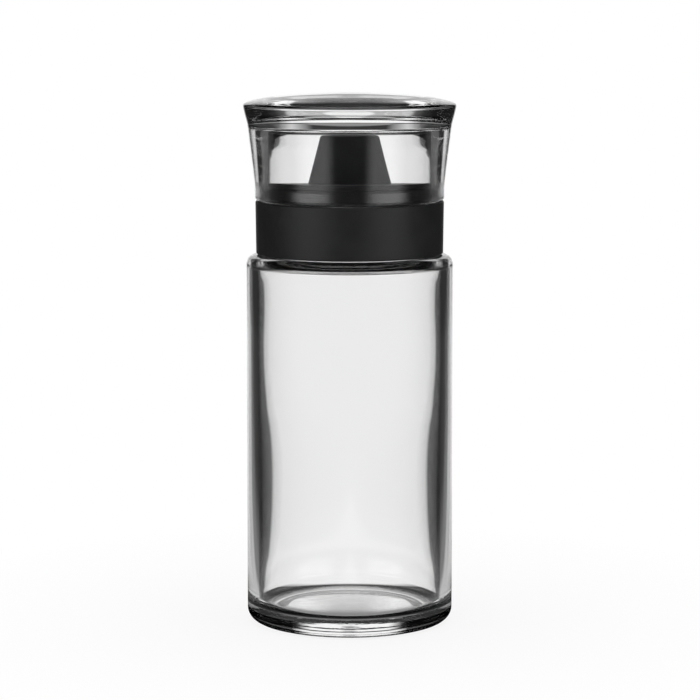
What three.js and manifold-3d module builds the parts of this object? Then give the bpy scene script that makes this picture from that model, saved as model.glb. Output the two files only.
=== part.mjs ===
// Oil cruet: a glass bottle, a screw collar, a pourer with a conical spout, and a clear flared stopper.
// Units are millimetres. +Z is up, and the origin is the middle of the face that the bottle stands on.

import * as THREE from 'three';
import { mergeVertices } from 'three/addons/utils/BufferGeometryUtils.js';
import Module from 'manifold-3d';

const wasm = await Module();
wasm.setup();

// Clearances
const slipGap = 0.3;
const seatGap = 0.1;

// Glass bottle
const bottleRadius = 32;
const bottleWall = 3.6;
const shoulderLevel = 114.7;
const shoulderCornerRadius = 3;
const shoulderThickness = 4;
const baseEdgeRadius = 4;
const baseThickness = 5;
const standRingWidth = 5;
const puntRise = 1.6;
const innerCornerRadius = 4;
const neckRadius = 24.4;
const neckWall = 3.8;
const neckHeight = 12.1;
const lipEdgeRadius = 1;

// Right-handed thread that the neck and the collar share
const threadPitch = 4.2;
const threadHeight = 1.4;
const threadRootWidth = 2;
const threadCrestWidth = 1;
const threadFlankGap = 0.35;
const threadDrop = 2.6;
const neckThreadTurns = 1.5;
const collarThreadTurns = 1;
const collarThreadStartTurns = 0.35;
const threadFadeTurns = 0.1;
const threadEndShare = 0.05;

// Screw collar
const collarWall = 2.8;
const collarTopThickness = 1.7;
const collarEdgeRadius = 0.5;
const collarStandoff = 0.3;
const collarFlare = 0.2;

// Gasket on the lip of the neck
const gasketThickness = 1.2;

// Pourer
const flangeThickness = 1.3;
const flangeStep = 0.95;
const upstandHeight = 6.5;
const upstandWall = 2.7;
const deckThickness = 1.8;
const deckEdgeRadius = 0.4;
const spoutHeight = 15.6;
const spoutBaseRadius = 12.85;
const spoutTopRadius = 8.95;
const spoutWall = 1.8;
const airHoleRadius = 1;

// Soft ring in the groove round the upstand
const ringHeight = 3.9;
const ringThickness = 1.1;
const ringTopMargin = 1.5;
const ringEdgeRadius = 0.35;

// Flow insert, pressed up into the spout
const insertRise = 4;
const insertWall = 1.2;
const insertFlangeWidth = 1.4;
const pourHoleRadius = 2.5;

// Stopper
const stopperOverhang = 0.35;
const stopperFlare = 3.6;
const stopperHeadThickness = 5.9;
const stopperCrownRise = 3.8;
const stopperFootRadius = 1.2;
const stopperHeadroom = 1.4;
const stopperCavityRadius = 1;

// Fineness of the turned shapes
const turnSteps = 48;
const arcSteps = 2;

const fullTurn = 2 * Math.PI;
const quarterTurn = Math.PI / 2;

// Radii that follow
const bottleBore = bottleRadius - bottleWall;
const neckBore = neckRadius - neckWall;
const collarBore = neckRadius + threadHeight + slipGap;
const collarRadius = collarBore + collarWall;
const collarTopRadius = collarRadius + collarFlare;
const flangeRadius = collarBore - slipGap;
const upstandRadius = flangeRadius - flangeStep;
const collarHole = upstandRadius + slipGap;
const spoutBore = spoutBaseRadius - spoutWall;

// Levels that follow, from the face that the bottle stands on
const lipLevel = shoulderLevel + neckHeight;
const collarLevel = shoulderLevel + collarStandoff;
const gasketLevel = lipLevel + seatGap;
const flangeLevel = gasketLevel + gasketThickness + seatGap;
const collarTopUnderside = flangeLevel + flangeThickness + seatGap;
const collarTopLevel = collarTopUnderside + collarTopThickness;
const deckLevel = collarTopLevel + upstandHeight;
const deckUnderside = deckLevel - deckThickness;
const ringLevel = deckLevel - ringTopMargin - seatGap - ringHeight;
const insertLevel = deckUnderside - seatGap - insertWall;
const stopperLevel = collarTopLevel + seatGap;

// Levels of the middle of each thread where it starts
const neckThreadLevel = lipLevel - threadDrop - threadPitch * neckThreadTurns;
const flankOffset = (threadRootWidth + threadCrestWidth) / 2 + threadFlankGap;
const collarThreadLevel = neckThreadLevel + threadPitch * collarThreadStartTurns - flankOffset;

const clearGlass = new THREE.MeshStandardMaterial({
  color: 0xeef2f2, roughness: 0.02, metalness: 0, transparent: true, opacity: 0.35,
});
const clearAcrylic = new THREE.MeshStandardMaterial({
  color: 0xf2f4f4, roughness: 0.03, metalness: 0, transparent: true, opacity: 0.35,
});
const satinBlack = new THREE.MeshStandardMaterial({ color: 0x1d1d1e, roughness: 0.45, metalness: 0 });
const glossBlack = new THREE.MeshStandardMaterial({ color: 0x18181a, roughness: 0.15, metalness: 0 });
const softBlack = new THREE.MeshStandardMaterial({ color: 0x202022, roughness: 0.5, metalness: 0 });
const paleSilicone = new THREE.MeshStandardMaterial({ color: 0xd9d9d4, roughness: 0.5, metalness: 0 });

// Turns an outline, drawn in radius and height, about +Z
function turned(outline) {
  const geometry = new THREE.LatheGeometry(outline.getPoints(arcSteps), turnSteps);
  geometry.rotateX(quarterTurn);
  return geometry;
}

// Makes a closed geometry into a solid that can be joined and cut
function toSolid(geometry) {
  const bare = geometry.clone();
  bare.deleteAttribute('normal');
  bare.deleteAttribute('uv');
  const merged = mergeVertices(bare);
  return new wasm.Manifold(new wasm.Mesh({
    numProp: 3,
    vertProperties: new Float32Array(merged.attributes.position.array),
    triVerts: new Uint32Array(merged.index.array),
  }));
}

// Makes a joined or cut solid into a geometry again
function toGeometry(solid) {
  const mesh = solid.getMesh();
  const geometry = new THREE.BufferGeometry();
  geometry.setAttribute('position', new THREE.BufferAttribute(mesh.vertProperties, 3));
  geometry.setIndex(new THREE.BufferAttribute(mesh.triVerts, 1));
  geometry.computeVertexNormals();
  return geometry;
}

// Screw thread: a trapezium carried up a right-handed helix, which fades into its wall at both ends.
// It stands outwards from its wall when the crest has the larger radius, and inwards otherwise.
function threadGeometry({ rootRadius, crestRadius, turns, startTurns, level }) {
  const outward = Math.sign(crestRadius - rootRadius);
  const buriedRadius = rootRadius - outward * threadHeight / 2;
  const steps = Math.round(turns * turnSteps);
  const sides = 6;
  const positions = [];
  const faces = [];
  for (let step = 0; step <= steps; step += 1) {
    const swept = turns * step / steps;
    const fade = Math.min(1, swept / threadFadeTurns, (turns - swept) / threadFadeTurns);
    const crest = rootRadius + (crestRadius - rootRadius) * Math.max(fade, threadEndShare);
    const middle = level + threadPitch * swept;
    const angle = fullTurn * (startTurns + swept);
    const section = [
      [buriedRadius, -threadRootWidth / 2],
      [rootRadius, -threadRootWidth / 2],
      [crest, -threadCrestWidth / 2],
      [crest, threadCrestWidth / 2],
      [rootRadius, threadRootWidth / 2],
      [buriedRadius, threadRootWidth / 2],
    ];
    for (const [radius, height] of outward > 0 ? section.reverse() : section) {
      positions.push(radius * Math.cos(angle), radius * Math.sin(angle), middle + height);
    }
  }
  for (let step = 0; step < steps; step += 1) {
    for (let side = 0; side < sides; side += 1) {
      const here = step * sides + side;
      const next = step * sides + (side + 1) % sides;
      faces.push(here, next, next + sides, here, next + sides, here + sides);
    }
  }
  const last = steps * sides;
  for (let side = 1; side < sides - 1; side += 1) {
    faces.push(0, side + 1, side, last, last + side, last + side + 1);
  }
  const geometry = new THREE.BufferGeometry();
  geometry.setAttribute('position', new THREE.Float32BufferAttribute(positions, 3));
  geometry.setIndex(faces);
  return geometry;
}

// Bottle, with zero height at the face that it stands on
function bottleGeometry() {
  const ceiling = shoulderLevel - shoulderThickness;
  const standOuter = bottleRadius - baseEdgeRadius;
  const standInner = standOuter - standRingWidth;
  const outline = new THREE.Path();
  outline.moveTo(0, puntRise);
  outline.quadraticCurveTo(standInner / 2, puntRise, standInner, 0);
  outline.absarc(standOuter, baseEdgeRadius, baseEdgeRadius, -quarterTurn, 0, false);
  outline.absarc(
    bottleRadius - shoulderCornerRadius, shoulderLevel - shoulderCornerRadius,
    shoulderCornerRadius, 0, quarterTurn, false,
  );
  outline.lineTo(neckRadius, shoulderLevel);
  outline.absarc(neckRadius - lipEdgeRadius, lipLevel - lipEdgeRadius, lipEdgeRadius, 0, quarterTurn, false);
  outline.absarc(
    neckBore + lipEdgeRadius, lipLevel - lipEdgeRadius, lipEdgeRadius, quarterTurn, 2 * quarterTurn, false,
  );
  outline.absarc(
    neckBore + lipEdgeRadius, ceiling + lipEdgeRadius, lipEdgeRadius, 2 * quarterTurn, 3 * quarterTurn, false,
  );
  outline.absarc(
    bottleBore - innerCornerRadius, ceiling - innerCornerRadius, innerCornerRadius, quarterTurn, 0, true,
  );
  outline.absarc(
    bottleBore - innerCornerRadius, baseThickness + innerCornerRadius, innerCornerRadius,
    0, -quarterTurn, true,
  );
  outline.lineTo(0, baseThickness);
  const neckThread = threadGeometry({
    rootRadius: neckRadius,
    crestRadius: neckRadius + threadHeight,
    turns: neckThreadTurns,
    startTurns: 0,
    level: neckThreadLevel,
  });
  return toGeometry(toSolid(turned(outline)).add(toSolid(neckThread)));
}

// Gasket, with zero height at its lower face
function gasketGeometry() {
  const outerRadius = flangeRadius - slipGap;
  const innerRadius = neckBore + slipGap;
  const outline = new THREE.Path();
  outline.moveTo(innerRadius, 0);
  outline.lineTo(outerRadius, 0);
  outline.lineTo(outerRadius, gasketThickness);
  outline.lineTo(innerRadius, gasketThickness);
  outline.lineTo(innerRadius, 0);
  return turned(outline);
}

// Collar, with zero height at its lower edge
function collarGeometry() {
  const height = collarTopLevel - collarLevel;
  const underside = collarTopUnderside - collarLevel;
  const outline = new THREE.Path();
  outline.moveTo(collarBore, 0);
  outline.lineTo(collarRadius - collarEdgeRadius, 0);
  outline.absarc(collarRadius - collarEdgeRadius, collarEdgeRadius, collarEdgeRadius, -quarterTurn, 0, false);
  outline.absarc(
    collarTopRadius - collarEdgeRadius, height - collarEdgeRadius, collarEdgeRadius, 0, quarterTurn, false,
  );
  outline.lineTo(collarHole, height);
  outline.lineTo(collarHole, underside);
  outline.lineTo(collarBore, underside);
  outline.lineTo(collarBore, 0);
  const collarThread = threadGeometry({
    rootRadius: collarBore,
    crestRadius: collarBore - threadHeight + seatGap,
    turns: collarThreadTurns,
    startTurns: collarThreadStartTurns,
    level: collarThreadLevel - collarLevel,
  });
  return toGeometry(toSolid(turned(outline)).add(toSolid(collarThread)));
}

// Pourer, with zero height at the lower face of its flange
function pourerGeometry() {
  const skirtBore = upstandRadius - upstandWall;
  const deck = deckLevel - flangeLevel;
  const underside = deck - deckThickness;
  const spoutTop = deck + spoutHeight;
  const grooveRadius = upstandRadius - ringThickness - seatGap;
  const grooveTop = deck - ringTopMargin;
  const grooveBottom = grooveTop - ringHeight - 2 * seatGap;
  const outline = new THREE.Path();
  outline.moveTo(skirtBore, 0);
  outline.lineTo(flangeRadius, 0);
  outline.lineTo(flangeRadius, flangeThickness);
  outline.lineTo(upstandRadius, flangeThickness);
  outline.lineTo(upstandRadius, grooveBottom);
  outline.lineTo(grooveRadius, grooveBottom);
  outline.lineTo(grooveRadius, grooveTop);
  outline.lineTo(upstandRadius, grooveTop);
  outline.absarc(upstandRadius - deckEdgeRadius, deck - deckEdgeRadius, deckEdgeRadius, 0, quarterTurn, false);
  outline.lineTo(spoutBaseRadius, deck);
  outline.absarc(
    spoutTopRadius - spoutWall / 2, spoutTop - spoutWall / 2, spoutWall / 2, 0, 2 * quarterTurn, false,
  );
  outline.lineTo(spoutBore, underside);
  outline.lineTo(skirtBore, underside);
  outline.lineTo(skirtBore, 0);

  // The hole that lets air in lies behind the spout
  const airHoleDepth = deckThickness + 2 * slipGap;
  const airHole = new THREE.CylinderGeometry(airHoleRadius, airHoleRadius, airHoleDepth);
  airHole.rotateX(quarterTurn);
  airHole.translate(0, (spoutBaseRadius + skirtBore) / 2, underside + deckThickness / 2);
  return toGeometry(toSolid(turned(outline)).subtract(toSolid(airHole)));
}

// Ring, with zero height at its lower edge
function ringGeometry() {
  const outline = new THREE.Path();
  outline.moveTo(upstandRadius - ringThickness, 0);
  outline.lineTo(upstandRadius - ringEdgeRadius, 0);
  outline.absarc(upstandRadius - ringEdgeRadius, ringEdgeRadius, ringEdgeRadius, -quarterTurn, 0, false);
  outline.absarc(
    upstandRadius - ringEdgeRadius, ringHeight - ringEdgeRadius, ringEdgeRadius, 0, quarterTurn, false,
  );
  outline.lineTo(upstandRadius - ringThickness, ringHeight);
  outline.lineTo(upstandRadius - ringThickness, 0);
  return turned(outline);
}

// Flow insert, with zero height at the lower face of its flange. Its plug follows the bore of the spout.
function insertGeometry() {
  const top = insertWall + seatGap + insertRise;
  const narrowing = (spoutBore - spoutTopRadius + spoutWall) / (deckThickness + spoutHeight - spoutWall / 2);
  const plugFoot = spoutBore - slipGap;
  const plugTop = plugFoot - narrowing * insertRise;
  const outline = new THREE.Path();
  outline.moveTo(pourHoleRadius, top - insertWall);
  outline.lineTo(plugTop - insertWall, top - insertWall);
  outline.lineTo(plugFoot - insertWall, 0);
  outline.lineTo(spoutBore + insertFlangeWidth, 0);
  outline.lineTo(spoutBore + insertFlangeWidth, insertWall);
  outline.lineTo(plugFoot, insertWall);
  outline.lineTo(plugTop, top);
  outline.lineTo(pourHoleRadius, top);
  outline.lineTo(pourHoleRadius, top - insertWall);
  return turned(outline);
}

// Stopper, with zero height at its foot. The flare is nearly straight up to a knee, then opens to the rim.
function stopperGeometry() {
  const bore = upstandRadius + slipGap;
  const footOuter = collarRadius + stopperOverhang;
  const ceiling = upstandHeight - seatGap + spoutHeight + stopperHeadroom;
  const rim = ceiling + stopperHeadThickness;
  const radiusAt = (share) => footOuter + stopperFlare * share;
  const levelAt = (share) => rim * share;
  const outline = new THREE.Path();
  outline.moveTo(0, ceiling);
  outline.lineTo(bore - stopperCavityRadius, ceiling);
  outline.absarc(
    bore - stopperCavityRadius, ceiling - stopperCavityRadius, stopperCavityRadius, quarterTurn, 0, true,
  );
  outline.lineTo(bore, 0);
  outline.absarc(footOuter - stopperFootRadius, stopperFootRadius, stopperFootRadius, -quarterTurn, 0, false);
  outline.bezierCurveTo(
    radiusAt(0), levelAt(0.2), radiusAt(0.36), levelAt(0.54), radiusAt(0.53), levelAt(0.7),
  );
  outline.bezierCurveTo(
    radiusAt(0.62), levelAt(0.82), radiusAt(0.93), levelAt(0.92), radiusAt(1), levelAt(0.985),
  );
  outline.absellipse(0, rim, radiusAt(1), stopperCrownRise, 0, quarterTurn, false);
  return turned(outline);
}

function piece(name, geometry, material, level) {
  const mesh = new THREE.Mesh(geometry, material);
  mesh.name = name;
  mesh.position.z = level;
  return mesh;
}

// What turns with the collar, placed from the collar's lower edge
const cap = new THREE.Group();
cap.position.z = collarLevel;
cap.add(piece('screw_collar', collarGeometry(), satinBlack, 0));
cap.add(piece('pourer', pourerGeometry(), glossBlack, flangeLevel - collarLevel));
cap.add(piece('stopper_ring', ringGeometry(), softBlack, ringLevel - collarLevel));
cap.add(piece('flow_insert', insertGeometry(), satinBlack, insertLevel - collarLevel));
cap.add(piece('stopper', stopperGeometry(), clearAcrylic, stopperLevel - collarLevel));

const cruet = new THREE.Group();
cruet.add(piece('glass_bottle', bottleGeometry(), clearGlass, 0));
cruet.add(piece('neck_gasket', gasketGeometry(), paleSilicone, gasketLevel));
cruet.add(cap);

export default cruet;
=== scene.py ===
import math

import bmesh
import bpy
from mathutils import Matrix, Vector
from mathutils.geometry import interpolate_bezier


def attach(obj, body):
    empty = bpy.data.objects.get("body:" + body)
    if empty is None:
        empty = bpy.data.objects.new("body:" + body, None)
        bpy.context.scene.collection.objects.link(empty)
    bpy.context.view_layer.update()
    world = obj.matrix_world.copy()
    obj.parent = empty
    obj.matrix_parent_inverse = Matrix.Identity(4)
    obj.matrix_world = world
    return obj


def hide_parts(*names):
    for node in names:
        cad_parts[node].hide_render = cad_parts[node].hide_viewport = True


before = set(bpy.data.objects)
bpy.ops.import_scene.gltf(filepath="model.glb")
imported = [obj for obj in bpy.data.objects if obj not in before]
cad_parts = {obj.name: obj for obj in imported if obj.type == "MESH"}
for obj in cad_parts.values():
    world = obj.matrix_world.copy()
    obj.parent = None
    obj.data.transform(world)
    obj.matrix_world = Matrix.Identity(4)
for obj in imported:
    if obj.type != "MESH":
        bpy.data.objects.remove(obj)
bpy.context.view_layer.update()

# Camera
# A long lens, higher than the top of the object and a short way in front of it. Its focal length was
# worked out in pixels of a picture 700 pixels wide. Its place is in metres.
picture_width = 700
focal_length = 2825
pitch_down = 7.344
camera_data = bpy.data.cameras.new("camera")
camera_data.sensor_width = 36.0
camera_data.lens = focal_length / picture_width * camera_data.sensor_width
camera = bpy.data.objects.new("camera", camera_data)
camera.location = (0.0001, -0.871, 0.197)
camera.rotation_euler = (math.radians(90 - pitch_down), 0, 0)
bpy.context.scene.collection.objects.link(camera)
bpy.context.scene.camera = camera

# Glass bottle
# Pressed clear glass: a thick base with a recess under it, a straight wall, a tight shoulder and a
# threaded neck. It is pressed in one piece, so its skin is very slightly wavy. Sizes are in mm.
MM = 0.001
bottle_radius = 32
bottle_wall = 3.6
base_thickness = 5
recess_radius = 20
recess_depth = 1.6
foot_radius = 23
shoulder_level = 114.7
shoulder_thickness = 2.6
neck_radius = 24.4
mouth_radius = 20.6
lip_level = 126.8


def turned(outline):
    """A piece turned about +Z. The outline's corners are radius, level and rounding in mm.
    It runs from axis to axis, or closes on itself."""
    steps = 192
    bm = bmesh.new()
    corners = [bm.verts.new((corner[0] * MM, 0, corner[1] * MM)) for corner in outline]
    closed = outline[0][0] > 0
    for here, there in zip(corners, corners[1:] + corners[:1] if closed else corners[1:]):
        bm.edges.new((here, there))
    for vert, corner in zip(corners, outline):
        if len(corner) > 2:
            bmesh.ops.bevel(
                bm, geom=[vert], offset=corner[2] * MM, offset_type="OFFSET", segments=8, profile=0.5,
                affect="VERTICES", material=-1,
            )
    bmesh.ops.spin(
        bm, geom=bm.verts[:] + bm.edges[:], cent=(0, 0, 0), axis=(0, 0, 1), angle=math.tau, steps=steps,
        use_merge=True,
    )
    return bm


def close_up(bm):
    """Merges the doubles of a closed mesh and turns its faces outwards."""
    bmesh.ops.remove_doubles(bm, verts=bm.verts[:], dist=1e-6)
    bmesh.ops.recalc_face_normals(bm, faces=bm.faces[:])


def to_object(name, bm):
    """The mesh as an object of that name in the scene."""
    mesh = bpy.data.meshes.new(name)
    bm.to_mesh(mesh)
    bm.free()
    made = bpy.data.objects.new(name, mesh)
    bpy.context.scene.collection.objects.link(made)
    return made


def to_piece(name, bm, body, *nodes):
    """The finished mesh as a piece of that name, which rides on a body and stands for its CAD node."""
    close_up(bm)
    for face in bm.faces:
        face.smooth = True
    for edge in bm.edges:
        edge.smooth = len(edge.link_faces) == 2 and edge.calc_face_angle() < math.radians(32)
    piece = to_object(name, bm)
    shading = piece.modifiers.new("even shading", "WEIGHTED_NORMAL")
    shading.keep_sharp = True
    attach(piece, body)
    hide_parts(*nodes)
    return piece


def cut_thread(bm, root, crest, first_level, turns, start, low, high):
    """Pushes the wall at the root radius out or in along a right-handed helix, between two levels."""
    pitch, root_width, crest_width, fade_turns = 4.2, 2.0, 1.0, 0.1
    wall = [
        edge for edge in bm.edges
        if abs(edge.verts[0].co.z - edge.verts[1].co.z) > 5 * MM
        and all(abs(math.hypot(vert.co.x, vert.co.y) - root * MM) < 0.01 * MM for vert in edge.verts)
    ]
    bmesh.ops.subdivide_edges(bm, edges=wall, cuts=40, use_grid_fill=True)
    for vert in bm.verts:
        radius, level = math.hypot(vert.co.x, vert.co.y) / MM, vert.co.z / MM
        if abs(radius - root) > 0.02 or not low < level < high:
            continue
        turn = math.atan2(vert.co.y, vert.co.x) / math.tau % 1.0
        rise = 0.0
        for lap in range(-1, 4):
            swept = turn - start + lap
            if 0 <= swept <= turns:
                away = abs(level - first_level - pitch * swept)
                height = min(1.0, max(0.0, (root_width / 2 - away) / ((root_width - crest_width) / 2)))
                rise = max(rise, height * min(1.0, swept / fade_turns, (turns - swept) / fade_turns))
        scale = (root + (crest - root) * rise) / radius
        vert.co.x *= scale
        vert.co.y *= scale


bm = turned([
    (0, recess_depth), (recess_radius, recess_depth, 1), (foot_radius, 0, 0.3), (bottle_radius, 0, 4),
    (bottle_radius, shoulder_level, 3), (neck_radius, shoulder_level, 0.5), (neck_radius, lip_level, 1),
    (mouth_radius, lip_level, 1), (mouth_radius, shoulder_level - shoulder_thickness, 1),
    (bottle_radius - bottle_wall, shoulder_level - shoulder_thickness, 1.3),
    (bottle_radius - bottle_wall, base_thickness, 4), (0, base_thickness),
])
cut_thread(
    bm, root=neck_radius, crest=25.8, first_level=117.9, turns=1.5, start=0.0, low=shoulder_level + 0.7,
    high=lip_level - 1.1)
glass_bottle = to_piece("bottle_glass", bm, "bottle", "glass_bottle")


class Nodes:
    """Adds nodes to a tree, and sets or links their inputs. All but add give back output sockets."""

    def __init__(self, tree):
        self.tree = tree

    def add(self, kind, inputs=None, **settings):
        node = self.tree.nodes.new(kind)
        for key, value in settings.items():
            setattr(node, key, value)
        for key, value in (inputs or {}).items():
            if isinstance(value, bpy.types.NodeSocket):
                self.tree.links.new(value, node.inputs[key])
            else:
                node.inputs[key].default_value = value
        return node

    def maths(self, operation, *values):
        return self.add("ShaderNodeMath", dict(enumerate(values)), operation=operation).outputs[0]

    def product(self, first, *others):
        for other in others:
            first = self.maths("MULTIPLY", first, other)
        return first

    def largest(self, first, *others):
        for other in others:
            first = self.maths("MAXIMUM", first, other)
        return first

    def without(self, value):
        return self.maths("SUBTRACT", 1.0, value)

    def span(self, value, start, end, first=0.0, last=1.0, **settings):
        inputs = {"Value": value, "From Min": start, "From Max": end, "To Min": first, "To Max": last}
        return self.add("ShaderNodeMapRange", inputs, **settings).outputs[0]

    def fade(self, value, start, end, first, last):
        return self.span(value, start, end, first, last, interpolation_type="SMOOTHSTEP")

    def place(self):
        """A point's way out from the axis, its distance from the axis and its level, in metres."""
        where = self.add("ShaderNodeTexCoord").outputs["Object"]
        x, y, level = self.add("ShaderNodeSeparateXYZ", {0: where}).outputs
        outwards = self.add("ShaderNodeCombineXYZ", {0: x, 1: y}).outputs[0]
        radius = self.add("ShaderNodeVectorMath", {0: outwards}, operation="LENGTH").outputs["Value"]
        return outwards, radius, level

    def noise(self, where, scale, detail):
        inputs = {"Vector": where, "Scale": scale, "Detail": detail}
        return self.add("ShaderNodeTexNoise", inputs).outputs[0]

    def bump(self, height):
        return self.add("ShaderNodeBump", {"Height": height, "Strength": 1.0, "Distance": 1.0}).outputs[0]

    def mix(self, share, first, second, **settings):
        """Two colours mixed. They are the node's inputs 6 and 7, and its output 2."""
        return self.add("ShaderNodeMix", {"Factor": share, 6: first, 7: second}, data_type="RGBA",
                        **settings).outputs[2]

    def ramp(self, value, stops):
        """A colour ramp through stops, each a position and a grey."""
        node = self.add("ShaderNodeValToRGB", {0: value})
        elements = node.color_ramp.elements
        while len(elements) < len(stops):
            elements.new(0.5)
        for element, (position, grey) in zip(elements, stops):
            element.position = position
            element.color = (grey, grey, grey, 1)
        return node.outputs[0]

    def curve(self, value, points):
        """A smooth curve through points, the first and the last at its ends."""
        node = self.add("ShaderNodeFloatCurve", {"Value": value})
        held = node.mapping.curves[0].points
        for point in points[1:-1]:
            held.new(*point)
        held[0].location, held[-1].location = points[0], points[-1]
        node.mapping.update()
        return node.outputs[0]


def finish(name):
    """A material, its Principled shader's inputs, and its nodes."""
    material = bpy.data.materials.new(name)
    material.use_nodes = True
    return material, material.node_tree.nodes["Principled BSDF"].inputs, Nodes(material.node_tree)


def shared(name, inputs, outputs):
    """A node group with those inputs and outputs: the group, its two ends, and its nodes."""
    group = bpy.data.node_groups.new(name, "ShaderNodeTree")
    for label, value in inputs.items():
        group.interface.new_socket(label, in_out="INPUT", socket_type="NodeSocketFloat").default_value = value
    for label, kind in outputs.items():
        group.interface.new_socket(label, in_out="OUTPUT", socket_type=kind)
    nodes = Nodes(group)
    return group, nodes.add("NodeGroupInput").outputs, nodes.add("NodeGroupOutput").inputs, nodes


# The skin of pressed glass or acrylic: long waves, fine rings that the mould left on the outside, and
# ripples under the base. The inputs are their heights in metres.
ring_radius = 27.5
underside_level = 2.4
glass_skin, given, result, nodes = shared(
    "glass_skin", {"Waves": 0.00004, "Rings": 0.0, "Ripples": 0.0}, {"Normal": "NodeSocketVector"})
where = nodes.add("ShaderNodeTexCoord").outputs["Object"]
radius, level = nodes.place()[1:]
stretched = nodes.add("ShaderNodeMapping", {"Vector": where, "Scale": (1, 1, 0.25)}).outputs[0]
layered = nodes.add("ShaderNodeMapping", {"Vector": where, "Scale": (1, 1, 14)}).outputs[0]
waves = nodes.product(nodes.noise(stretched, 70.0, 1.0), given["Waves"])
rings = nodes.product(
    nodes.noise(layered, 26.0, 2.0), nodes.maths("GREATER_THAN", radius, ring_radius * MM), given["Rings"])
ripples = nodes.product(
    nodes.noise(where, 260.0, 2.0), nodes.maths("LESS_THAN", level, underside_level * MM), given["Ripples"])
skin = nodes.bump(nodes.maths("ADD", nodes.maths("ADD", waves, rings), ripples))
glass_skin.links.new(skin, result["Normal"])


class Surface:
    """Where a point of a clear piece lies, and how far its surface is turned from view."""

    def __init__(self, nodes):
        self.outwards, self.radius, self.level = nodes.place()
        self.turned = nodes.add("ShaderNodeLayerWeight", {"Blend": 0.5}).outputs["Facing"]


def clear_finish(name, index, clarity, bore, edge, skin, zones, haze=None):
    """Clear glass or acrylic. Its bore's colour carries painted shade: it darkens where it turns from view,
    standing in for the dark edge that a thick wall shows by a white ground. The edge is a list of levels in
    mm, each with how narrow the painted dark edge is there. A zone gives the share of a point in it, and its
    tint, which is painted shade. The haze is a level, and the bore's roughness under it."""
    overall_height = 165
    slack = 1.6
    material, shader, nodes = finish(name)
    surface = Surface(nodes)
    in_bore = nodes.maths("COMPARE", surface.radius, bore * MM, slack * MM)
    narrow = nodes.curve(nodes.span(surface.level, 0.0, overall_height * MM),
                         [(level / overall_height, amount) for level, amount in edge])
    # Painted shade: the bore's colour runs dark as it turns from view.
    wall = nodes.ramp(nodes.maths("SUBTRACT", surface.turned, narrow), [
        (0.0, 1.0), (0.33, 0.9), (0.45, 0.55), (0.50, 0.035), (0.64, 0.012), (0.74, 0.001), (1.0, 0.001),
    ])
    tint = nodes.mix(in_bore, (1, 1, 1, 1), wall)
    tint = nodes.mix(1.0, tint, (clarity, clarity, clarity, 1), blend_type="MULTIPLY")
    for zone in zones:
        share, zone_tint = zone(nodes, surface)
        tint = nodes.mix(share, tint, zone_tint)
    nodes.tree.links.new(tint, shader["Base Color"])
    uneven = nodes.add("ShaderNodeGroup", skin, node_tree=glass_skin)
    nodes.tree.links.new(uneven.outputs[0], shader["Normal"])
    shader["Transmission Weight"].default_value = 1.0
    shader["IOR"].default_value = index
    shader["Roughness"].default_value = 0.0
    if haze:
        level, roughness = haze
        hazy = nodes.product(nodes.maths("LESS_THAN", surface.level, level * MM), in_bore, roughness)
        nodes.tree.links.new(hazy, shader["Roughness"])
    return material


def heel(nodes, surface):
    """Painted shade on the solid heel of the bottle: dark where the wall over it turns from view."""
    level, radius = 4.8, 26.5
    outwards = nodes.add("ShaderNodeVectorMath", {0: surface.outwards}, operation="NORMALIZE").outputs[0]
    outwards = nodes.add("ShaderNodeVectorTransform", {0: outwards}, vector_type="NORMAL",
                         convert_from="OBJECT", convert_to="WORLD").outputs[0]
    turned = nodes.add("ShaderNodeLayerWeight", {"Blend": 0.5, "Normal": outwards}).outputs["Facing"]
    share = nodes.product(nodes.maths("LESS_THAN", surface.level, level * MM),
                          nodes.maths("GREATER_THAN", surface.radius, radius * MM))
    stops = [(0.0, 1.0), (0.14, 1.0), (0.17, 0.4), (0.2, 0.01), (1.0, 0.003)]
    return share, nodes.ramp(turned, stops)


clear_glass = clear_finish(
    "clear_glass", index=1.5, clarity=0.985, bore=bottle_radius - bottle_wall,
    edge=[
        (0, 0.2), (8.7, 0.19), (13.4, 0.15), (21, 0.055), (37, 0.0), (53, 0.01), (68, 0.115), (84, 0.18),
        (100, 0.15), (105, 0.17), (110, 0.3), (165, 0.3),
    ],
    skin={"Waves": 0.00005, "Rings": 0.0, "Ripples": 0.00003}, zones=[heel])
glass_bottle.data.materials.append(clear_glass)

# Neck gasket
# A flat washer, punched from translucent silicone sheet. It lies on the lip of the bottle, and the
# flange of the pourer is clamped down on it.
gasket_low = 126.9
gasket_high = 128.1


def band(inner, outer, low, high, inner_rounding, outer_rounding):
    """A flat or upright ring."""
    return turned([
        (inner, low, inner_rounding), (outer, low, outer_rounding), (outer, high, outer_rounding),
        (inner, high, inner_rounding),
    ])


bm = band(
    inner=20.9, outer=25.5, low=gasket_low, high=gasket_high, inner_rounding=0.15, outer_rounding=0.15)
neck_gasket = to_piece("gasket_washer", bm, "gasket", "neck_gasket")

# The surface of a moulded or punched part: a fine grain, cloudy patches, and a little dust on what
# faces up. The grain's depth is in metres.
moulded_surface, given, result, nodes = shared(
    "moulded_surface", {"Grain Scale": 3000.0, "Grain Depth": 0.00001, "Dust": 0.2},
    {"Normal": "NodeSocketVector", "Patches": "NodeSocketFloat", "Dust": "NodeSocketFloat"})
where = nodes.add("ShaderNodeTexCoord").outputs
grain = nodes.noise(where["Object"], given["Grain Scale"], 2.0)
patches = nodes.span(nodes.noise(where["Object"], 120.0, 5.0), 0.35, 0.65)
specks = nodes.span(nodes.noise(where["Object"], 1400.0, 4.0), 0.55, 0.75)
facing_up = nodes.span(nodes.add("ShaderNodeSeparateXYZ", {0: where["Normal"]}).outputs[2], 0.3, 0.95)
for label, socket in (
    ("Normal", nodes.bump(nodes.product(grain, given["Grain Depth"]))),
    ("Patches", patches),
    ("Dust", nodes.product(facing_up, specks, given["Dust"])),
):
    moulded_surface.links.new(socket, result[label])


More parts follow.
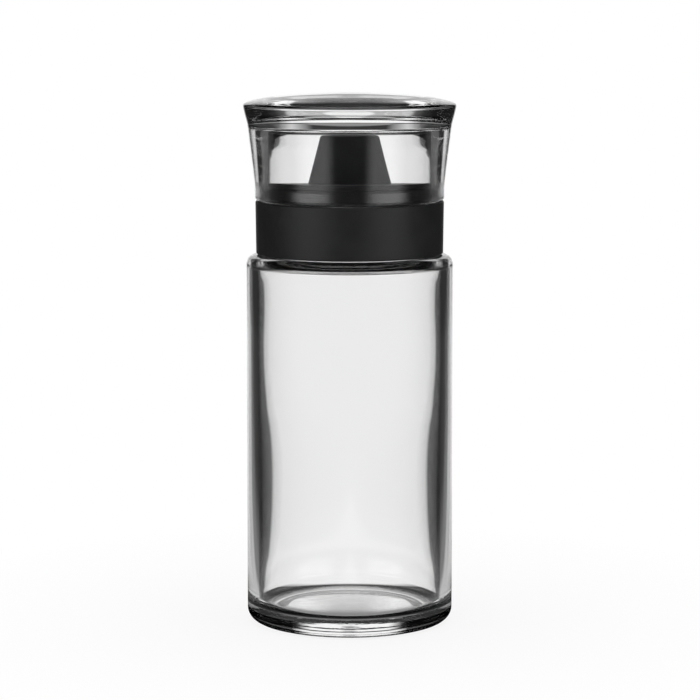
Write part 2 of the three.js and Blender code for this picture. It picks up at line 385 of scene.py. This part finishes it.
def moulded_finish(name, dark, light, smooth, rough, grain_scale, grain_depth, dust):
    """A moulded plastic or rubber: two near colours and two roughnesses in patches, with grain and dust."""
    dust_colour = (0.35, 0.34, 0.32, 1)
    material, shader, nodes = finish(name)
    surface = nodes.add(
        "ShaderNodeGroup", {"Grain Scale": grain_scale, "Grain Depth": grain_depth, "Dust": dust},
        node_tree=moulded_surface).outputs
    colour = nodes.mix(surface["Patches"], (*dark, 1), (*light, 1))
    colour = nodes.mix(surface["Dust"], colour, dust_colour)
    roughness = nodes.span(surface["Patches"], 0.0, 1.0, smooth, rough)
    for label, socket in (("Base Color", colour), ("Roughness", roughness), ("Normal", surface["Normal"])):
        nodes.tree.links.new(socket, shader[label])
    return material


pale_silicone = moulded_finish(
    "pale_silicone", dark=(0.64, 0.64, 0.60), light=(0.72, 0.72, 0.69), smooth=0.42, rough=0.55,
    grain_scale=1800.0, grain_depth=0.00001, dust=0.05)
shader = pale_silicone.node_tree.nodes["Principled BSDF"].inputs
shader["Subsurface Weight"].default_value = 0.15
shader["Subsurface Scale"].default_value = 0.001
neck_gasket.data.materials.append(pale_silicone)

# Screw collar
# Black polypropylene with a fine satin grain, moulded with its thread inside. Its top flange
# clamps the pourer and the gasket down on the lip.
collar_low = 115.0
collar_top = 131.3
collar_bore = 26.1
collar_radius_low = 28.9
collar_radius_top = 29.1
flange_bore = 25.15
flange_underside = 129.6
bm = turned([
    (collar_bore, collar_low, 0.3), (collar_radius_low, collar_low, 0.5),
    (collar_radius_top, collar_top, 0.5), (flange_bore, collar_top, 0.25), (flange_bore, flange_underside),
    (collar_bore, flange_underside),
])
cut_thread(
    bm, root=collar_bore, crest=24.8, first_level=117.52, turns=1.0, start=0.35, low=collar_low + 0.4,
    high=flange_underside - 0.2)
screw_collar = to_piece("collar_ring", bm, "cap", "screw_collar")
satin_black_plastic = moulded_finish(
    "satin_black_plastic", dark=(0.010, 0.010, 0.0105), light=(0.014, 0.014, 0.0145), smooth=0.42,
    rough=0.48, grain_scale=5200.0, grain_depth=0.000012, dust=0.06)
screw_collar.data.materials.append(satin_black_plastic)

# Pourer
# Glossy black plastic in one moulding: a flange trapped by the collar, an upstand with a groove,
# a flat deck and a truncated cone with an open mouth. A small hole behind the cone lets air in.
rim_radius = 25.8
rim_underside = 128.2
rim_top = 129.5
upstand_radius = 24.85
upstand_bore = 22.15
groove_radius = 23.65
groove_low = 132.2
groove_high = 136.3
deck_level = 137.8
deck_underside = 136.0
spout_base_radius = 12.85
spout_top_radius = 8.95
spout_wall = 1.8
spout_top = 153.4
air_hole_radius = 1
air_hole_behind = 17.5


def drilled(bm, radius, depth, centre):
    """The closed mesh with an upright hole cut through it by a peg. Sizes are in mm."""
    close_up(bm)
    peg = bmesh.new()
    bmesh.ops.create_cone(
        peg, cap_ends=True, segments=32, radius1=radius * MM, radius2=radius * MM, depth=depth * MM,
        matrix=Matrix.Translation(Vector(centre) * MM))
    whole = to_object("whole", bm)
    cutter = to_object("cutter", peg)
    cut = whole.modifiers.new("hole", "BOOLEAN")
    cut.operation = "DIFFERENCE"
    cut.solver = "EXACT"
    cut.object = cutter
    bpy.context.view_layer.update()
    result = bmesh.new()
    result.from_mesh(whole.evaluated_get(bpy.context.evaluated_depsgraph_get()).to_mesh())
    for used in (whole, cutter):
        mesh = used.data
        bpy.data.objects.remove(used)
        bpy.data.meshes.remove(mesh)
    return result


bm = turned([
    (upstand_bore, rim_underside), (rim_radius, rim_underside), (rim_radius, rim_top),
    (upstand_radius, rim_top), (upstand_radius, groove_low), (groove_radius, groove_low),
    (groove_radius, groove_high), (upstand_radius, groove_high), (upstand_radius, deck_level, 0.4),
    (spout_base_radius, deck_level, 0.3), (spout_top_radius, spout_top, 0.85),
    (spout_top_radius - spout_wall, spout_top, 0.85), (spout_base_radius - spout_wall, deck_underside),
    (upstand_bore, deck_underside, 0.3),
])
bm = drilled(bm, air_hole_radius, depth=4, centre=(0, air_hole_behind, 137))
pourer = to_piece("pourer_spout", bm, "cap", "pourer")
gloss_black_plastic = moulded_finish(
    "gloss_black_plastic", dark=(0.009, 0.009, 0.0095), light=(0.012, 0.012, 0.0125), smooth=0.36,
    rough=0.44, grain_scale=2400.0, grain_depth=0.000002, dust=0.02)
pourer.data.materials.append(gloss_black_plastic)

# Flow insert
# A small black plug, moulded and pressed up into the spout from below. A thin rim stops it, and its
# hole meters the oil.
pour_hole_radius = 2.5
plug_radius_low = 10.75
plug_radius_top = 9.76
plug_top = 140.0
cup_radius_low = 9.55
cup_radius_top = 8.56
cup_top = 138.8
stop_radius = 12.45
stop_low = 134.7
stop_high = 135.9
bm = turned([
    (pour_hole_radius, cup_top, 0.3), (cup_radius_top, cup_top), (cup_radius_low, stop_low),
    (stop_radius, stop_low, 0.2), (stop_radius, stop_high, 0.2), (plug_radius_low, stop_high),
    (plug_radius_top, plug_top, 0.3), (pour_hole_radius, plug_top, 0.3),
])
flow_insert = to_piece("insert_plug", bm, "cap", "flow_insert")
insert_black_plastic = moulded_finish(
    "insert_black_plastic", dark=(0.012, 0.012, 0.0125), light=(0.017, 0.017, 0.0175), smooth=0.36,
    rough=0.46, grain_scale=3600.0, grain_depth=0.000008, dust=0.02)
flow_insert.data.materials.append(insert_black_plastic)

# Stopper ring
# A soft black moulded band, stretched into the groove of the upstand. The stopper slides over it and
# is held by it.
groove_gap = 0.1
bm = band(
    inner=groove_radius + groove_gap, outer=upstand_radius, low=groove_low + groove_gap,
    high=groove_high - groove_gap, inner_rounding=0.1, outer_rounding=0.35)
stopper_ring = to_piece("seal_band", bm, "cap", "stopper_ring")
soft_black_seal = moulded_finish(
    "soft_black_seal", dark=(0.010, 0.010, 0.010), light=(0.014, 0.014, 0.014), smooth=0.36, rough=0.44,
    grain_scale=2800.0, grain_depth=0.000005, dust=0.01)
stopper_ring.data.materials.append(soft_black_seal)

# Stopper
# Thick clear acrylic in one moulding: an open skirt that flares to a sharp rim, and a solid, slightly
# domed head. It stands on the collar and drops over the pourer.
stopper_foot = 131.4
stopper_rim = 160.7
stopper_top = 164.5
stopper_ceiling = 154.8
stopper_bore = 25.15
skirt_radius = 29.25
rim_reach = 3.6


def bezier(start, pull_start, pull_end, end, count):
    """Points along a curve between two corners, without its first."""
    points = interpolate_bezier(*[Vector((*p, 0)) for p in (start, pull_start, pull_end, end)], count + 1)
    return [(point.x, point.y) for point in points[1:]]


def flare(reach_share, height_share):
    """A point by its share of the way out to the rim and up to it."""
    return skirt_radius + rim_reach * reach_share, stopper_foot + (stopper_rim - stopper_foot) * height_share


stopper_radius = skirt_radius + rim_reach
bm = turned([
    (0, stopper_ceiling), (stopper_bore, stopper_ceiling, 1.0), (stopper_bore, stopper_foot, 0.3),
    (skirt_radius, stopper_foot, 1.2),
    *bezier(flare(0, 0.12), flare(0, 0.2), flare(0.36, 0.54), flare(0.53, 0.707), 24),
    (31.27, 153.0), (31.37, 153.7),
    *bezier((31.458, 154.4), (31.6, 155.4), (32.55, 158.3), (stopper_radius, stopper_rim - 0.4), 24),
    (stopper_radius, stopper_rim - 0.1),
    *bezier((stopper_radius, stopper_rim), (stopper_radius, 162.6), (18.14, stopper_top), (0, stopper_top),
            60),
])
stopper = to_piece("stopper_clear", bm, "stopper", "stopper")


def head(nodes, surface):
    """Painted shade on the upright side of the solid head: dark where it turns from view."""
    level, largest_slant = 154.5, 0.6
    normal = nodes.add("ShaderNodeTexCoord").outputs["Normal"]
    slant = nodes.add("ShaderNodeSeparateXYZ", {0: normal}).outputs[2]
    share = nodes.product(nodes.maths("GREATER_THAN", surface.level, level * MM),
                          nodes.maths("COMPARE", slant, 0.0, largest_slant))
    stops = [(0.0, 1.0), (0.21, 1.0), (0.26, 0.35), (0.31, 0.07), (1.0, 0.07)]
    return share, nodes.ramp(surface.turned, stops)


def rim(nodes, surface):
    """A painted dark line along the sharp rim, where the view enters the acrylic."""
    level, half_width = 161, 0.5
    on_rim = nodes.maths("COMPARE", surface.level, level * MM, half_width * MM)
    leaving = nodes.add("ShaderNodeNewGeometry").outputs["Backfacing"]
    return nodes.maths("GREATER_THAN", on_rim, leaving), (0.03, 0.03, 0.03, 1)


clear_acrylic = clear_finish(
    "clear_acrylic", index=1.49, clarity=0.94, bore=stopper_bore,
    edge=[(0, 0.3), (100, 0.3), (130, 0.3), (146.2, 0.3), (149.2, 0.12), (151.5, 0.0), (165, 0.0)],
    skin={"Waves": 0.00002, "Rings": 0.000006, "Ripples": 0.0}, zones=[head, rim], haze=(137.5, 0.15))
stopper.data.materials.append(clear_acrylic)

# Floor and light
# A plain white table and a white sweep behind it, in a dim studio. Two soft boxes stand just over the
# table either side of the camera, and a third hangs overhead. What is seen directly is white. What is
# seen through the glass or in it is the studio: white close by and straight behind, dim elsewhere.


def studio(nodes, near):
    """The white surround's strength on the floor or in the world, and its share of what is seen.
    Distances are in metres."""
    maths, product, largest, fade = nodes.maths, nodes.product, nodes.largest, nodes.fade
    degrees = math.radians
    rays = nodes.add("ShaderNodeLightPath").outputs
    where = nodes.add("ShaderNodeTexCoord").outputs["Object" if near else "Generated"]
    x, y, z = nodes.add("ShaderNodeSeparateXYZ", {0: where}).outputs
    bounces = rays["Glossy Depth"]
    through = product(rays["Is Transmission Ray"], maths("LESS_THAN", bounces, 0.5))
    reflected = nodes.without(through)
    shown = largest(rays["Is Camera Ray"], rays["Is Glossy Ray"], rays["Is Transmission Ray"])

    # Azimuth 0 is straight behind the object.
    azimuth = maths("ARCTAN2", maths("ABSOLUTE", x), y)
    behind = fade(azimuth, degrees(14), degrees(22), 1.0, 0.03)
    if near:
        # The lit sheet is a strip that widens to the back, and dims past its edges and far away.
        distance = maths("SQRT", maths("ADD", product(x, x), product(y, y)))
        edge = maths("SUBTRACT", maths("ABSOLUTE", x), product(y, 0.34))
        sheet = product(fade(edge, 0.052, 0.066, 0.55, 0.16), fade(edge, 0.07, 0.15, 1.0, 0.25),
                        fade(distance, 0.7, 0.95, 1.0, 0.15))

        # Painted shadow: the table under the object is darkened, most under its foot and towards the front,
        # less so under the recess in its base.
        under = product(fade(y, -0.014, 0.012, 0.3, 0.85), fade(distance, 0.0235, 0.0255, 1.0, 0.0))
        under = largest(under, fade(distance, 0.0295, 0.036, 0.0, 1.0), fade(y, -0.022, 0.022, 0.03, 0.4))
        through = product(through, under)

        # Light that has been reflected inside the glass is dim after two reflections, and after four
        # or more. After five it also comes from the sides.
        second = maths("COMPARE", bounces, 2.0, 0.4)
        unlit = product(largest(second, maths("GREATER_THAN", bounces, 3.5)), 0.96)
        studio_light = product(largest(behind, sheet), under, nodes.without(unlit))
        side = product(fade(azimuth, degrees(44), degrees(56), 0.0, 1.3), fade(distance, 0.3, 0.36, 1.0, 0.0),
                       maths("GREATER_THAN", bounces, 4.5))

        # Painted shade: in reflections off the outside of the pieces, the table close by is darkened, which
        # the heel shows.
        outer = product(rays["Is Glossy Ray"], maths("LESS_THAN", rays["Transmission Depth"], 0.5))
        shade = product(outer, fade(distance, 0.05, 0.1, 1.0, 0.0))
        studio_light = product(largest(studio_light, side), nodes.without(shade))
    else:
        # Seen through the glass, the sweep ends a little over the table. Over it are a low band
        # straight ahead and a wing on either side. Here the angle is the same ahead and behind.
        aside = maths("ARCTAN2", maths("ABSOLUTE", x), maths("ABSOLUTE", y))
        sweep = fade(z, 0.1028, 0.1062, 1.0, 0.04)
        wing = product(fade(z, 0.147, 0.173, 0.0, 0.65), fade(z, 0.28, 0.34, 1.0, 0.0),
                       fade(aside, degrees(14), degrees(25), 0.3, 1.0),
                       fade(aside, degrees(12), degrees(17), 0.0, 1.0))
        band = product(fade(z, 0.118, 0.128, 0.0, 0.3), fade(z, 0.183, 0.194, 1.0, 0.0),
                       fade(aside, degrees(14), degrees(20), 1.0, 0.0))
        wing = product(largest(wing, band), fade(aside, degrees(29), degrees(37), 1.0, 0.25))
        through = product(through, largest(sweep, wing))

        # Reflections show the sweep, half as bright in a narrow strip up its middle, a dim flank on
        # either side and a dark ceiling.
        above = product(fade(z, 0.1, 0.11, 0.0, 1.0), fade(azimuth, degrees(1), degrees(4), 0.5, 0.0))
        flank = product(fade(azimuth, degrees(32), degrees(38), 0.0, 0.13),
                        fade(azimuth, degrees(60), degrees(75), 1.0, 0.0), fade(z, 0.14, 0.17, 1.0, 0.1))
        studio_light = product(largest(product(behind, nodes.without(above)), flank),
                               fade(z, 0.3, 0.5, 1.0, 0.06))
    return largest(rays["Is Camera Ray"], through, product(studio_light, reflected)), shown


bm = bmesh.new()
bmesh.ops.create_circle(bm, cap_ends=True, segments=96, radius=6.0)
floor = to_object("floor", bm)
pale_floor, shader, nodes = finish("pale_floor")
shader["Base Color"].default_value = (0.92, 0.92, 0.92, 1)
shader["Roughness"].default_value = 0.7
light, shown = studio(nodes, near=True)

# Near the object the camera sees a little of the floor itself, which takes the object's shadow.
where = nodes.add("ShaderNodeTexCoord").outputs["Object"]
away = nodes.add("ShaderNodeVectorMath", {0: where}, operation="LENGTH").outputs["Value"]
shadow = nodes.product(nodes.add("ShaderNodeLightPath").outputs["Is Camera Ray"],
                       nodes.span(away, 0.04, 0.16, 0.12, 0.0))
glow = nodes.add("ShaderNodeEmission", {"Color": (1, 1, 1, 1), "Strength": light}).outputs[0]
plain = nodes.tree.nodes["Principled BSDF"].outputs[0]
seen = nodes.add("ShaderNodeMixShader", {"Fac": nodes.maths("SUBTRACT", shown, shadow), 1: plain, 2: glow})
nodes.tree.links.new(seen.outputs[0], nodes.tree.nodes["Material Output"].inputs["Surface"])
floor.data.materials.append(pale_floor)

world = bpy.data.worlds.new("surround")
world.use_nodes = True
bpy.context.scene.world = world
nodes = Nodes(world.node_tree)
light, shown = studio(nodes, near=False)
strength = nodes.add("ShaderNodeMix", {"Factor": shown, "A": 0.5, "B": light}).outputs["Result"]
background = nodes.tree.nodes["Background"].inputs
background["Color"].default_value = (1, 1, 1, 1)
nodes.tree.links.new(strength, background["Strength"])


def area_light(name, place, facing, width, height, full, power):
    """A soft box. It fades towards its edges from two shares of its width and height, out from its middle."""
    data = bpy.data.lights.new(name, "AREA")
    data.shape = "RECTANGLE"
    data.size, data.size_y = width, height
    data.energy = power
    data.use_nodes = True
    nodes = Nodes(data.node_tree)
    where = nodes.add("ShaderNodeNewGeometry").outputs["Parametric"]
    sides = nodes.add("ShaderNodeSeparateXYZ", {0: where}).outputs
    strength = nodes.product(*[
        nodes.fade(nodes.maths("ABSOLUTE", nodes.maths("SUBTRACT", side, 0.5)), share, 0.5, 1.0, 0.0)
        for side, share in zip(sides, full)
    ])
    nodes.tree.links.new(strength, nodes.tree.nodes["Emission"].inputs["Strength"])
    lamp = bpy.data.objects.new(name, data)
    lamp.location = place
    lamp.rotation_euler = facing
    lamp.visible_camera = False
    bpy.context.scene.collection.objects.link(lamp)


box_distance = 0.9
box_azimuth = 48.5
box_level = 0.195
for name, side in (("soft_box_left", -1), ("soft_box_right", 1)):
    turn = side * math.radians(box_azimuth)
    place = (math.sin(turn) * box_distance, -math.cos(turn) * box_distance, box_level)
    upright = (math.radians(90), 0, turn)
    area_light(name, place, upright, width=1.1, height=0.34, full=(0.2, 0.38), power=2.4)
area_light("overhead_box", (0, 0, 1.3), (0, 0, 0), width=1.4, height=1.4, full=(0.2, 0.2), power=11.0)

bpy.context.scene.view_settings.view_transform = "Standard"
bpy.context.scene.cycles.max_bounces = 24
bpy.context.scene.cycles.transmission_bounces = 24
bpy.context.scene.cycles.glossy_bounces = 12
bpy.context.scene.cycles.caustics_reflective = True
bpy.context.scene.cycles.caustics_refractive = True
